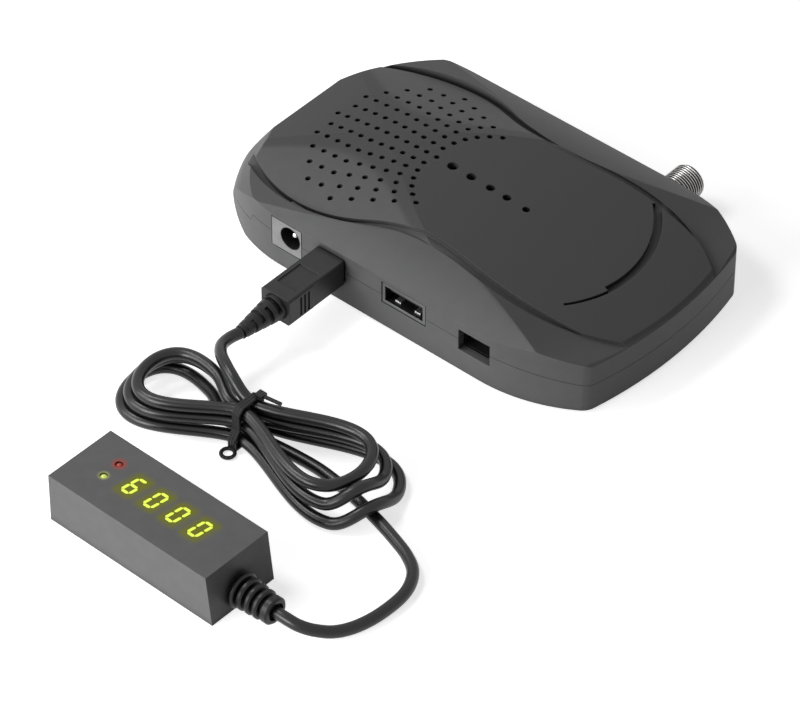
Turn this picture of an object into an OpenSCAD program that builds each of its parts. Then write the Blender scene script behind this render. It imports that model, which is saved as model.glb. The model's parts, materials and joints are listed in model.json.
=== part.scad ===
// Small satellite receiver with a plug-in display on a cord. Millimetres, +Z up.
// Origin: centre of the case on the table. +X: the narrow end. -Y: the wall with the display's plug.

/* [Case] */
// Length of the case
case_l = 124; // [116:1:136]
// Width of the case between its two port walls
case_w = 77; // [75:0.5:84]
// Height of the crown of the top plate above the table
case_h = 23.05; // [22.5:0.1:27]
// Height of the underside above the table
foot_h = 1; // [0.8:0.1:1.4]
// Thickness of the side walls
wall_t = 2.2; // [1.8:0.1:2.6]
// Thickness of the floor
floor_t = 1.6; // [1.4:0.1:1.8]
// Thickness of the skin under the top plate
roof_t = 2; // [1.5:0.1:2.6]
// Height of the seam between the two covers
seam_z = 10.9; // [10:0.1:12]
// Fall of the seam at the narrow end
seam_fall = 2.4; // [1:0.1:3]
// Gap along the seam
seam_gap = 0.12; // [0.05:0.01:0.3]
// Plan radius of the narrow end
end_r = 126; // [110:1:160]
// Plan radius of the shoulders beside the narrow end
shoulder_r = 46; // [43:1:50]
// Plan radius of the corners at the narrow end
corner_r = 5; // [3:0.5:7]
// Height where the chamfer of the narrow end starts
chamfer_z = 15; // [13:0.1:15.6]

/* [Top plate] */
// Half width of the plate at its wide lobe
lobe_half = 31; // [29:0.5:32]
// Half width of the plate at its waist
waist_half = 23.3; // [21:0.1:24]
// Half width of the plate behind the waist
tail_half = 25.3; // [24:0.1:26]
// Width of the groove round the plate
groove_w = 2.2; // [1.6:0.1:2.8]
// Depth of the grooves
groove_d = 1.3; // [0.8:0.1:1.6]
// Inner radius of the arc groove
arc_r = 33; // [30:0.5:35]
// Width of the arc groove
arc_w = 2.2; // [1.4:0.1:2.8]

/* [Holes] */
// Diameter of the vent holes
vent_d = 1.5; // [1:0.1:1.8]
// Pitch of the vent holes along the case
vent_pitch = 3.35; // [3:0.05:3.6]
// Diameter of the largest hole of the row of five
row_d = 3.05; // [2.6:0.05:3.4]
// Width of a slot in the floor
floor_slot_w = 1.8; // [1.2:0.1:2.4]

/* [Board] */
// Clearance under the board
board_lift = 2.6; // [2.4:0.1:3]
// Thickness of the board
board_t = 1.6; // [1.2:0.1:1.8]
// Radius of the screw bosses
boss_r = 4.2; // [3.8:0.1:4.6]
// Radius of the case screws
screw_r = 1.3; // [1.1:0.05:1.5]
// Radius of the rubber feet
foot_r = 4; // [3:0.1:4.5]

/* [Ports] */
// Width of the power jack
dc_w = 9.9; // [9:0.1:11]
// Height of the power jack
dc_h = 9; // [8.6:0.1:9.6]
// Radius of the hole in the power jack
dc_bore_r = 3.2; // [2.8:0.1:3.4]
// Radius of the pin in the power jack
dc_pin_r = 1; // [0.7:0.05:1.3]
// Width of the USB socket's flared mouth
usb_w = 14.07; // [13.8:0.01:15]
// Height of the USB socket's flared mouth
usb_h = 6.35; // [6.2:0.01:7]
// Width of the opening of the modular jack
serial_w = 10; // [9:0.1:11]
// Height of the opening of the modular jack
serial_h = 6.5; // [5.5:0.1:6.8]
// Radius of the antenna connector's thread
lnb_r = 4.76; // [4.5:0.01:4.9]
// Length of the antenna connector's thread outside the case
lnb_l = 11.3; // [9:0.1:14]
// Radius of the bore of the audio and video jack
av_r = 1.8; // [1.7:0.05:2]
// Gap between a port and the opening in the wall
port_gap = 0.25; // [0.15:0.05:0.4]

/* [Plug] */
// Width of the plug's housing
plug_w = 9.46; // [9.3:0.02:10]
// Height of the plug's housing
plug_h = 8; // [7.6:0.1:8.4]
// Length of the plug's housing
plug_l = 20.7; // [18:0.1:24]
// How far the plug reaches into its socket
plug_in = 6.5; // [5.5:0.1:7]
// Length of the plug's strain relief
relief_l = 13; // [11:0.5:13]

/* [Display] */
// Length of the display unit
disp_l = 53.6; // [52:0.2:60]
// Width of the display unit
disp_w = 21.2; // [20:0.2:24]
// Height of the display unit
disp_h = 14.5; // [14:0.1:16]
// Thickness of its walls
disp_t = 1.4; // [1.2:0.1:1.6]
// Height of a digit
digit_h = 6.2; // [5:0.1:7]
// Spacing of the digits
digit_pitch = 7.25; // [6.8:0.05:7.4]
// Largest radius of the display's strain relief
disp_relief_r = 4.25; // [4:0.05:4.6]

/* [Cord] */
// Diameter of the cord
cord_d = 3.2; // [2.8:0.1:3.2]
// Step from one layer of the hank to the next
layer = 3.7; // [3.7:0.05:3.8]

/* [Hidden] */
$fn = 48;
BIG = 256; // segments of the long arcs
far = 120; // reach of the cutting shapes past the case
hair = 0.01; // lets arcs that run into each other cross instead of just touching

// Heights
floor_z = foot_h + floor_t;
board_z = floor_z + board_lift;
top_z = board_z + board_t;
wall_y = case_w / 2;

// Functions on points
function unit(v) = v / norm(v);
function circle_from(a, b, c) =
    let (d = 2 * (a.x * (b.y - c.y) + b.x * (c.y - a.y) + c.x * (a.y - b.y)),
         p = [a * a, b * b, c * c])
    [(p.x * (b.y - c.y) + p.y * (c.y - a.y) + p.z * (a.y - b.y)) / d,
     (p.x * (c.x - b.x) + p.y * (a.x - c.x) + p.z * (b.x - a.x)) / d];
// Where circles (p, rp) and (q, rq) meet, on the right of the way from p to q
function meet(p, rp, q, rq) =
    let (d = norm(q - p), u = (q - p) / d, a = (d * d + rp * rp - rq * rq) / (2 * d))
    p + a * u + sqrt(rp * rp - a * a) * [u.y, -u.x];

// Plan of the case
end_x = case_l / 2 - end_r;
shoulder_x = 31;
shoulder_y = wall_y - shoulder_r;
tail_x = -35;
tail_r = 40;
tail_y = wall_y - tail_r;
corner = meet([end_x, 0], end_r - corner_r, [shoulder_x, -shoulder_y], shoulder_r - corner_r);
// The wide end: a barrel about a vertical axis, and a rounded nose across it
barrel_x = -case_l / 2 + 49.7;
barrel_c = circle_from([wall_y + 13.5, 1.2], [wall_y + 16.7, 8], [wall_y + 10, 16]);
barrel_r = norm([wall_y + 13.5, 1.2] - barrel_c);
barrel_lean = 45;
nose_c = [-case_l / 2 + 11.9, case_h - 12.5];
nose_r = 11.9;
// Top plate: two arcs along the case under a tilted arc across it
crown_x = -13;
crown_back_r = 185;
crown_front_r = 400;
crest_r = 100;
crest_slope = 6.28;
crest_at = [-43.6, 0, case_h - 2.25];
// Wing panels: an arc across, and a level run that falls towards both ends
wing_r = 60;
wing_top = case_h - 1.45;
wing_in = [wall_y - 13.2, case_h - 1.65];
wing_out = [wall_y, case_h - 6.55];
wing_x = 2;
wing_front_r = 270;
wing_back_r = 60;
wing_back_a = 6.28;

// Outline of the plate: lobe, waist and tail arcs that run into each other
lobe_x = -33;
waist_x = 4;
waist_back_r = 50;
waist_front_r = 80;
plate_tail_x = 30;
crease_r = 50;
function run_in_r(x, half, wr) =
    let (dx = waist_x - x, dy = waist_half - half + wr) (dx * dx + dy * dy - wr * wr) / (2 * (wr - dy));
function run_in_n(x, half, wr, r) = unit([waist_x - x, waist_half + wr - half + r]);
lobe_r = run_in_r(lobe_x, lobe_half, waist_back_r);
lobe_n = run_in_n(lobe_x, lobe_half, waist_back_r, lobe_r);
tail_plate_r = run_in_r(plate_tail_x, tail_half, waist_front_r);
tail_n = run_in_n(plate_tail_x, tail_half, waist_front_r, tail_plate_r);
arc_x = 12.5;
arc_from = -12;
arc_to = 48;
arc_thin_from = -33;
arc_thin_w = 0.8;

// Vent holes
vent_x = -15.9;
vent_counts = [11, 10, 10, 9, 8, 7, 5];
row_x = [-10.5, -4.3, 2, 7.4, 13.7];

// Fixings
boss_back_x = 17 - case_l / 2;
boss_front_x = case_l / 2 - 15;
boss_at = [[boss_back_x, 24], [boss_back_x, -24], [boss_front_x, 25], [boss_front_x, -25]];
foot_back_x = 28 - case_l / 2;
foot_front_x = case_l / 2 - 24;
foot_at = [[foot_back_x, 30], [foot_back_x, -30], [foot_front_x, 30], [foot_front_x, -30]];
post_at = [[5, -18], [5, 20]];
post_r = 2.6;
board_hole_gap = 0.3;
head_r = 2.7;
head_h = 1.6;
foot_sink = 0.6;
foot_gap = 0.2;

// Ports in the wall at -Y
dc_x = -32.75;
dc_l = 13.5;
dc_bore_x = -31.5;
dc_bore_z = top_z + 5;
dc_bore_l = 10;
socket_x = -17.55;
socket_z = top_z + 4.35;
socket_w = 9;
socket_h = 5;
socket_l = 8.4;
socket_t = 0.4;
socket_set = 0.3;
usb_x = 6.35;
usb_z = top_z + 1.9;
usb_l = 14;
usb_t = 0.4;
usb_lip = 0.45;
usb_spring_x = 3.2;
usb_spring_w = 1.8;
serial_x = 29.31;
serial_z = top_z + 0.76;
serial_l = 15;
serial_t = 1.2;
serial_set = 0.45;
// Ports in the wall at +Y
lnb_x = 27.45;
lnb_z = top_z + 1.2;
collar_r = lnb_r + 0.24;
can_y = 30;
hdmi_x = -2;
hdmi_w = 15;
hdmi_h = 6;
hdmi_l = 11;
hdmi_t = 0.4;
av_x = -25;
av_z = top_z + 2.6;
av_w = 12;
av_h = 5.2;
av_l = 14;
av_nose_r = 2.75;

// Plug and its socket share the same axis
plug_y = -wall_y - 0.3;
plug_end_y = plug_y - plug_l;
plug_shell_w = 7.6;
plug_shell_h = 3.6;
plug_shell_t = 0.35;

// Display unit: its own frame has the corner at the origin
disp_at = [-15.15, -142.85];
disp_yaw = -1.06;
disp_slope = 1.7;
disp_relief_y = 9.9;
disp_relief_z = 4.95;
disp_relief_l = 11.4;
disp_relief_in = 4.2;
disp_relief_ring = 1.6;
disp_relief_pitch = 2.4;
disp_relief_mouth = 1.2;
disp_board_z = 6.4;
disp_board_t = 1.2;
disp_skin = 1;
digit_x = 17.75;
digit_y = 11.1;
digit_w = 3.3;
digit_lean = 8;
segment_w = 0.8;
segment_cut = 0.2;
segment_gap = 0.05;
led_x = 9.8;
red_y = 14.2;
green_y = 8.92;
led_r = 1;

// Route of the cord, points on its centre line
plug_route = [[-17.55, -72.3, 11.15], [-18.2, -75.6, 11.2], [-17.4, -79.4, 11.8], [-14.4, -82.8, 12.8],
    [-10.4, -85.4, 13.4], [-6.4, -87.2, 12.8], [-3.2, -88, 11.1], [-1, -88.2, 10.1], [1.23, -88.25, 9.7]];
display_route = [[1.3, -90.2, 2.3], [5, -90.1, 2.1], [9, -89.8, 1.9], [16, -89, 1.7], [24, -88.8, 1.6],
    [34, -90.1, 1.6], [44, -92.4, 1.6], [52, -94.8, 1.6], [58.8, -97.4, 1.6], [63.6, -101, 1.6],
    [66.4, -107.2, 1.6], [66.6, -115.5, 1.6], [65.2, -122.4, 1.6], [62.8, -127.6, 2], [59.6, -131.3, 3.1],
    [56.4, -133.4, 4.2], [52.8, -134.1, 4.9], [48.87, -134.13, 4.95]];
hank_at = [1.3, -90.2];
hank_lift = 0.7;
hank_rings = 24;
slot_in = [1.95, 1.95, 3.7]; // the strands' places at the waist, on all but the last run of each left lobe
slot_out = [1.95, 4, 0];
slot_out_power = [4, 1, 2];
band_w = 2.4;
band_t = 0.5;
band_gap = 0.35;
band_under = 0.15;
band_slack = 0.3;
band_wire_r = 0.5;
loop_r = 1.7;

// ---------- shared shapes ----------
module slab(x0, x1) { translate([x0, -far]) square([x1 - x0, 2 * far]); }
module lens(x, c, r) {
    intersection() {
        translate([x, c]) circle(r, $fn = BIG);
        translate([x, -c]) circle(r, $fn = BIG);
    }
}
module across(l = 2 * far) { rotate([90, 0, 90]) linear_extrude(l, center = true) children(); }
module along(l = 2 * far) { rotate([90, 0, 0]) linear_extrude(l, center = true) children(); }
// A tube along -Y or +Y whose near face is at y
module bore_y(x, y, z, r, l) { translate([x, y, z]) rotate([-90, 0, 0]) cylinder(r = r, h = l); }
module box_at(x, z, w, h, y, l) { translate([x - w / 2, y, z]) cube([w, l, h]); }

// Plan of the case, t inside its wall
module plan(t) {
    difference() {
        intersection() {
            translate([end_x, 0]) circle(end_r - t, $fn = BIG);
            union() {
                intersection() { lens(tail_x, -tail_y, tail_r - t); slab(-far, tail_x); }
                translate([tail_x, t - wall_y]) square([shoulder_x - tail_x, case_w - 2 * t]);
                intersection() { lens(shoulder_x, -shoulder_y, shoulder_r - t); slab(shoulder_x, far); }
            }
        }
        for (s = [-1, 1]) scale([1, s]) corner_waste(t);
    }
}
module corner_waste(t) {
    u = unit(corner - [end_x, 0]) * 12;
    v = unit(corner - [shoulder_x, -shoulder_y]) * 12;
    difference() {
        polygon([corner, corner + u, corner + u + v, corner + v]);
        translate(corner) circle(corner_r - t + hair, $fn = 96);
    }
}
// The block inside the case's walls, without its top
module walls(t) {
    c = barrel_c;
    r = barrel_r - t;
    lean = c + r * [cos(barrel_lean), sin(barrel_lean)];
    intersection() {
        translate([0, 0, foot_h]) linear_extrude(case_h + 2) plan(t);
        union() {
            translate([barrel_x + 6, -far, 0]) cube([far, 2 * far, far]);
            translate([barrel_x, 0, 0]) rotate_extrude($fn = BIG) {
                intersection() { translate(c) circle(r, $fn = BIG); square([far, far]); }
                polygon([[0, 0], [c.x, 0], c, lean, lean + [-18, 18], [0, lean.y + 18]]);
            }
        }
        along() {
            intersection() { translate(nose_c) circle(nose_r - t, $fn = BIG); translate([-far, 0]) square(far + 40); }
            translate([nose_c.x, 0]) square([2 * far, far]);
        }
        translate([end_x, 0, 0]) rotate_extrude($fn = BIG)
            polygon([[0, 0], [end_r - t, 0], [end_r - t, chamfer_z - t], [end_r - 20, chamfer_z + 20 - 2 * t],
                [0, chamfer_z + 20 - 2 * t]]);
    }
}
module under_plate(t) {
    intersection() {
        along() {
            intersection() {
                translate([crown_x, case_h - crown_back_r]) circle(crown_back_r - t, $fn = BIG);
                translate([-far, 0]) square([far + crown_x, far]);
            }
            intersection() {
                translate([crown_x, case_h - crown_front_r]) circle(crown_front_r - t, $fn = BIG);
                translate([crown_x, 0]) square([far, far]);
            }
        }
        translate(crest_at) rotate([0, -crest_slope, 0]) translate([0, 0, -crest_r])
            rotate([0, 90, 0]) cylinder(r = crest_r - t, h = 3 * far, center = true, $fn = BIG);
    }
}
module under_wing(t) {
    mid = (wing_in + wing_out) / 2;
    side = unit(wing_out - wing_in);
    half = norm(wing_out - wing_in) / 2;
    c = mid + sqrt(wing_r * wing_r - half * half) * [side.y, -side.x];
    back = [wing_x, wing_top - wing_back_r] + (wing_back_r - t) * [-sin(wing_back_a), cos(wing_back_a)];
    run = far + back.x;
    intersection() {
        across() for (s = [-1, 1]) translate([s * c.x, c.y]) circle(wing_r - t, $fn = BIG);
        along() {
            intersection() {
                translate([wing_x, wing_top - wing_front_r]) circle(wing_front_r - t, $fn = BIG);
                translate([wing_x, 0]) square([far, far]);
            }
            intersection() {
                translate([wing_x, wing_top - wing_back_r]) circle(wing_back_r - t, $fn = BIG);
                translate([back.x, 0]) square([wing_x - back.x, far]);
            }
            polygon([[-far, 0], [back.x, 0], back, back - run * [1, tan(wing_back_a)]]);
        }
    }
}
// Outline of the plate, grown by g, and the outline of all that lies inside the wings
module plate_area(g) {
    x1 = lobe_x + (lobe_r + g) * lobe_n.x;
    x2 = plate_tail_x + (tail_plate_r + g) * tail_n.x;
    intersection() { lens(lobe_x, lobe_half - lobe_r, lobe_r + g); slab(-far, x1 + hair); }
    difference() { slab(x1, waist_x); waist_cuts(waist_back_r, g); }
    difference() { slab(waist_x, x2); waist_cuts(waist_front_r, g); }
    intersection() { lens(plate_tail_x, tail_half - tail_plate_r, tail_plate_r + g); slab(x2 - hair, far); }
}
module waist_cuts(r, g) {
    for (s = [-1, 1]) {
        translate([waist_x, s * (waist_half + r)]) circle(r - g, $fn = BIG);
        translate([-far, s > 0 ? waist_half + r - 1 : -far - waist_half - r + 1]) square([2 * far, far]);
    }
}
module inner_area(g) {
    intersection() { plate_area(groove_w + g); slab(-far, plate_tail_x); }
    intersection() {
        lens(plate_tail_x, tail_half + groove_w - crease_r, crease_r + g);
        slab(plate_tail_x, far);
    }
}
module arc_area() {
    translate([arc_x, 0]) difference() {
        circle(arc_r + arc_w, $fn = BIG);
        circle(arc_r, $fn = BIG);
        polygon([[0, 0], far * [cos(arc_to), sin(arc_to)], [-far, far], [-far, -far], [far, -far],
            far * [cos(arc_from), sin(arc_from)]]);
    }
    translate([arc_x, 0]) difference() {
        circle(arc_r + arc_w, $fn = BIG);
        circle(arc_r + arc_w - arc_thin_w, $fn = BIG);
        polygon([[0, 0], far * [cos(arc_from), sin(arc_from)], [far, far], [-far, far], [-far, -far],
            far * [cos(arc_thin_from), sin(arc_thin_from)]]);
    }
}
// All that lies under the seam, raised by dz
module under_seam(dz) {
    fall_x = case_l / 2 - 27;
    fall_r = 27 * 27 / (2 * seam_fall);
    step_x = -case_l / 2 + 16.5;
    along() {
        translate([step_x, -1]) square([fall_x - step_x, seam_z + dz + 1]);
        polygon([[-far, -1], [step_x, -1], [step_x, seam_z + dz], [step_x - 1.2, seam_z - 2.4 + dz],
            [-far, seam_z - 2.4 + dz]]);
        intersection() {
            translate([fall_x, seam_z + dz - fall_r]) circle(fall_r, $fn = BIG);
            translate([fall_x, -1]) square([far, far]);
        }
    }
}
// Openings in both covers for the ports, and nothing else
module port_cuts() {
    g = port_gap;
    y = -wall_y - 1;
    l = wall_t + 2;
    box_at(dc_x, top_z - g, dc_w + 2 * g, dc_h + 2 * g, y, dc_l + 1 + g);
    box_at(socket_x, socket_z - socket_h / 2 - g, socket_w + 2 * g, socket_h + 2 * g, y, l);
    box_at(usb_x, usb_z - g, usb_w + 2 * g, usb_h + 2 * g, y, l);
    box_at(serial_x, serial_z, serial_w, serial_h, y, l);
    bore_y(lnb_x, wall_y - wall_t - 1, lnb_z, collar_r + g, wall_t + 2);
    box_at(hdmi_x, top_z - g, hdmi_w + 2 * g, hdmi_h + 2 * g, wall_y - wall_t - 1, l);
    bore_y(av_x, wall_y - wall_t - 1, av_z, av_nose_r + g, wall_t + 2);
}

// ---------- casing ----------
module top_cover() color([0.30, 0.30, 0.31]) difference() {
    union() {
        difference() {
            top_shell();
            ceiling();
        }
        for (p = boss_at) intersection() {
            translate([p.x, p.y, top_z]) cylinder(r = boss_r - 0.8, h = case_h);
            intersection() { under_plate(groove_d + 0.6); under_wing(1); }
        }
    }
    for (p = boss_at) translate([p.x, p.y, top_z - 1]) cylinder(r = screw_r, h = 7);
    vent_holes();
    port_cuts();
}
// The outer form of the upper cover, solid
module top_shell() {
    difference() {
        intersection() {
            walls(0);
            union() {
                difference() { under_wing(0); linear_extrude(far) inner_area(0); }
                intersection() { under_plate(groove_d); linear_extrude(far) inner_area(0); }
                intersection() {
                    under_plate(0);
                    linear_extrude(far) difference() {
                        intersection() { plate_area(0); inner_area(0); }
                        arc_area();
                    }
                }
            }
        }
        under_seam(seam_gap);
    }
}
module ceiling() {
    intersection() {
        walls(wall_t);
        union() {
            difference() { under_wing(wall_t); linear_extrude(far) inner_area(wall_t); }
            intersection() { under_plate(groove_d + roof_t); linear_extrude(far) inner_area(wall_t); }
            intersection() { under_plate(roof_t); linear_extrude(far) plate_area(-wall_t); up_to(case_l / 2 - 24); }
        }
    }
}
module up_to(x) { translate([-far, -far, 0]) cube([far + x, 2 * far, far]); }
module vent_holes() {
    for (j = [-6 : 6], i = [0 : vent_counts[abs(j)] - 1]) {
        k = abs(j);
        fan = max(0, 1 - i / 5);
        x = vent_x - vent_pitch * i - (k == 0 ? 0 : 1.3) + 0.25 * (1 - i / 5) * k * k;
        y = k * (4.75 - 0.85 * fan) - 0.18 * fan * k * k;
        translate([x, sign(j) * y, case_h - 9]) cylinder(d = vent_d, h = 12, $fn = 24);
    }
    for (i = [0 : 4])
        translate([row_x[i], 0, case_h - 9]) cylinder(d = row_d - [0, 0.3, 0.6, 0.7, 1][i], h = 12);
}
module bottom_cover() color([0.36, 0.36, 0.37]) difference() {
    union() {
        difference() {
            intersection() { walls(0); under_seam(0); }
            intersection() { walls(wall_t); translate([-far, -far, floor_z]) cube([2 * far, 2 * far, far]); }
        }
        for (p = boss_at) translate([p.x, p.y, floor_z - 0.2]) cylinder(r = boss_r, h = board_lift + 0.2);
        for (p = post_at) translate([p.x, p.y, floor_z - 0.2]) cylinder(r = post_r, h = board_lift + 0.2);
    }
    for (p = boss_at) {
        translate([p.x, p.y, 0]) cylinder(r = screw_r + 0.3, h = board_z + 1);
        translate([p.x, p.y, 0]) cylinder(r = head_r + 0.3, h = foot_h + head_h + 0.3);
    }
    for (p = post_at) translate([p.x, p.y, floor_z]) cylinder(r = 0.9, h = board_lift + 1);
    for (p = foot_at) translate([p.x, p.y, 0]) cylinder(r = foot_r + foot_gap, h = foot_h + foot_sink);
    for (i = [-4 : 4]) translate([4.4 * i - 6, 0, 0]) floor_slot();
    port_cuts();
}
module floor_slot() {
    linear_extrude(floor_z + 1) {
        square([floor_slot_w, 16], center = true);
        for (s = [-8, 8]) translate([0, s]) circle(d = floor_slot_w);
    }
}
module rubber_feet() color([0.08, 0.08, 0.08]) {
    h = foot_h + foot_sink;
    for (p = foot_at) translate(p) rotate_extrude()
        polygon([[0, 0], [foot_r - 0.5, 0], [foot_r, 0.5], [foot_r, h], [0, h]]);
}
module case_screws() color([0.6, 0.6, 0.62]) {
    z = foot_h + 0.3;
    for (p = boss_at) translate([p.x, p.y, z]) difference() {
        union() {
            cylinder(r = head_r, h = head_h);
            cylinder(r = screw_r - 0.05, h = top_z + 5 - z);
        }
        for (a = [0, 90]) rotate(a) translate([-1.5, -0.3, -1]) cube([3, 0.6, 1.8]);
    }
}
module pcb_screws() color([0.7, 0.7, 0.72])
    for (p = post_at) translate([p.x, p.y, top_z]) difference() {
        union() {
            cylinder(r = 1.9, h = 1.3);
            translate([0, 0, -board_t - 1.8]) cylinder(r = 0.85, h = board_t + 2);
        }
        for (a = [0, 90]) rotate(a) translate([-1.1, -0.25, 0.6]) cube([2.2, 0.5, 2]);
    }

// ---------- board and what stands on it ----------
module main_board() color([0.08, 0.3, 0.16]) translate([0, 0, board_z]) difference() {
    linear_extrude(board_t) intersection() {
        plan(wall_t + 1.2);
        translate([-case_l / 2 + 12, -wall_y]) square([case_l - 22, case_w]);
    }
    translate([lnb_x - collar_r - 0.5, can_y, -1]) cube([2 * collar_r + 1, 20, 5]);
    for (p = boss_at) translate([p.x, p.y, -1]) cylinder(r = screw_r + board_hole_gap, h = 4);
    for (p = post_at) translate([p.x, p.y, -1]) cylinder(r = 0.85 + board_hole_gap, h = 4);
}
module chip(p, w, d, h) { translate([p.x - w / 2, p.y - d / 2, top_z]) cube([w, d, h]); }
cpu_at = [-22, 2];
cpu_w = 17;
cpu_h = 1.4;
sink_w = 20;
fin_t = 1.4;
fin_h = 5;
module processor() color([0.1, 0.1, 0.1]) chip(cpu_at, cpu_w, cpu_w, cpu_h);
module heat_sink() color([0.12, 0.12, 0.13])
    translate([cpu_at.x - sink_w / 2, cpu_at.y - sink_w / 2, top_z + cpu_h]) {
        cube([sink_w, sink_w, fin_t]);
        for (i = [0 : 6]) translate([i * (sink_w - fin_t) / 6, 0, fin_t / 2]) cube([fin_t, sink_w, fin_h + fin_t / 2]);
    }
module memory_chip() color([0.1, 0.1, 0.1]) chip([-40, 4], 8, 13, 1);
module flash_chip() color([0.1, 0.1, 0.1]) chip([-22, -16], 6, 5, 1.6);
module crystal() color([0.75, 0.75, 0.78]) translate([-6.5, 8, top_z]) linear_extrude(3.5) {
    square([4, 7], center = true);
    for (s = [-3.5, 3.5]) translate([0, s]) circle(2);
}
can_at = [14, 6];
can_w = 28;
can_h = 8.2;
module tuner_can() color([0.78, 0.78, 0.8]) difference() {
    union() {
        translate([can_at.x, can_at.y, top_z]) cube([can_w, can_y - can_at.y, can_h]);
        translate([can_at.x + 3, can_at.y + 3, top_z + can_h - 0.2]) cube([can_w - 6, can_y - can_at.y - 6, 0.5]);
    }
    translate([can_at.x + 0.5, can_at.y + 0.5, top_z - 1]) cube([can_w - 1, can_y - can_at.y - 1, can_h + 0.5]);
    bore_y(lnb_x, can_y - 2, lnb_z, 1.15, 4);
}
module tuner_chip() color([0.1, 0.1, 0.1]) chip([24, 15], 7, 7, 0.9);
caps = [[-36, -17, 3.2, 7.5], [-14, -24, 2.5, 6], [14, -16, 2.5, 7], [38, -14, 3.2, 7], [47, 4, 3.2, 6.5],
    [-44, 14, 2.5, 7]];
module capacitors() color([0.16, 0.2, 0.3]) for (c = caps) translate([c.x, c.y, top_z]) rotate_extrude()
    polygon([[0, 0], [c[2], 0], [c[2], 1], [c[2] - 0.3, 1.3], [c[2], 1.6], [c[2], c[3] - 0.4],
        [c[2] - 0.4, c[3]], [0, c[3]]]);
coils = [[-46, -12], [-5, -16], [36, -3]];
coil_r = 3.2;
coil_h = 3.4;
coil_flange = 0.8;
module inductors() color([0.25, 0.25, 0.27]) for (p = coils) translate([p.x, p.y, top_z]) {
    linear_extrude(coil_flange) square(2 * coil_r, center = true);
    cylinder(r = coil_r - coil_flange, h = coil_h);
    translate([0, 0, coil_h - coil_flange]) cylinder(r = coil_r, h = coil_flange);
}
reg_w = 6.5;
reg_gap = 0.8;
regs = [[-28.8, -wall_y + dc_l + reg_gap + reg_w / 2], [22, -6]];
module regulators() color([0.1, 0.1, 0.1]) for (p = regs) chip(p, reg_w, reg_w, reg_w / 3);

// ---------- ports ----------
module dc_jack() color([0.78, 0.78, 0.78]) difference() {
    box_at(dc_x, top_z, dc_w, dc_h, -wall_y, dc_l);
    bore_y(dc_bore_x, -wall_y - 1, dc_bore_z, dc_bore_r, dc_bore_l + 1);
}
module dc_jack_pin() color([0.9, 0.9, 0.9]) translate([dc_bore_x, -wall_y + dc_bore_l, dc_bore_z])
    rotate([90, 0, 0]) {
        cylinder(r = dc_pin_r, h = dc_bore_l - 2);
        translate([0, 0, dc_bore_l - 2 - dc_pin_r * 0.2]) sphere(dc_pin_r * 0.98);
    }
// A sheet shell round a socket: x centre, bottom z, outer width and height, face y, length, sheet
module socket_can(x, z, w, h, y, l, t) {
    difference() {
        box_at(x, z, w, h, y, l);
        box_at(x, z + t, w - 2 * t, h - 2 * t, y - 1, l + 1 - t);
    }
    for (s = [-1, 1], p = [0.3, 0.75])
        translate([x + s * (w - t) / 2 - t / 2, y + l * p, top_z]) cube([t, 1.4, z - top_z + 0.5]);
}
module display_socket_shell() color([0.75, 0.75, 0.77])
    socket_can(socket_x, socket_z - socket_h / 2, socket_w, socket_h, -wall_y + socket_set, socket_l, socket_t);
module display_socket_tongue() color([0.1, 0.1, 0.1]) {
    back = -wall_y + socket_set + socket_l - socket_t;
    box_at(socket_x, socket_z + 0.35, 5.8, 0.8, back - 6.4, 6.4);
}
module usb_shell() color([0.75, 0.75, 0.77]) {
    y = -wall_y + 0.1;
    in_w = usb_w - 2 * usb_lip;
    in_h = usb_h - 2 * usb_lip;
    socket_can(usb_x, usb_z + usb_lip, in_w, in_h, y, usb_l, usb_t);
    difference() {
        box_at(usb_x, usb_z, usb_w, usb_h, y, 0.5);
        box_at(usb_x, usb_z + usb_lip + usb_t, in_w - 2 * usb_t, in_h - 2 * usb_t, y - 1, 3);
    }
    for (s = [-1, 1])
        box_at(usb_x + s * usb_spring_x, usb_z + usb_lip + usb_t / 2, usb_spring_w, usb_t / 2 + 0.3, y + 1.5,
            usb_spring_w);
}
usb_tongue_z = usb_z + usb_h - usb_lip - usb_t - 2.3;
module usb_insulator() color([0.92, 0.92, 0.9]) {
    back = -wall_y + 0.1 + usb_l - usb_t;
    in_w = usb_w - 2 * usb_lip - 2 * usb_t;
    in_h = usb_h - 2 * usb_lip - 2 * usb_t;
    box_at(usb_x, usb_z + usb_lip + usb_t + 0.05, in_w - 0.1, in_h - 0.1, back - 3, 3);
    box_at(usb_x, usb_tongue_z, 11.2, 1.8, back - 12, 10);
}
module usb_contacts() color([0.85, 0.68, 0.3]) {
    back = -wall_y + 0.1 + usb_l - usb_t;
    for (i = [0 : 3]) box_at(usb_x + [-3.5, -1, 1, 3.5][i], usb_tongue_z - 0.2, 1, 0.2, back - 11, 8);
}
module serial_jack() color([0.13, 0.13, 0.13]) difference() {
    box_at(serial_x, top_z, serial_w + 2 * serial_t, serial_z - top_z + serial_h + serial_t,
        -wall_y + wall_t + serial_set, serial_l);
    box_at(serial_x, serial_z, serial_w, serial_h, -wall_y, wall_t + serial_l - 1.5);
}
module serial_contacts() color([0.85, 0.68, 0.3]) for (i = [-1.5 : 1.5])
    box_at(serial_x + 1.1 * i, serial_z + serial_h - 0.3, 0.5, 0.3, -wall_y + wall_t + 3, serial_l - 6);
module lnb_connector() color([0.8, 0.8, 0.82]) difference() {
    union() {
        bore_y(lnb_x, can_y, lnb_z, collar_r, wall_y + 0.2 - can_y);
        bore_y(lnb_x, wall_y, lnb_z, lnb_r, lnb_l + 0.2);
    }
    bore_y(lnb_x, can_y + 3, lnb_z, lnb_r - 0.9, 40);
    bore_y(lnb_x, can_y - 1, lnb_z, 1.5, 6);
}
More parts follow.
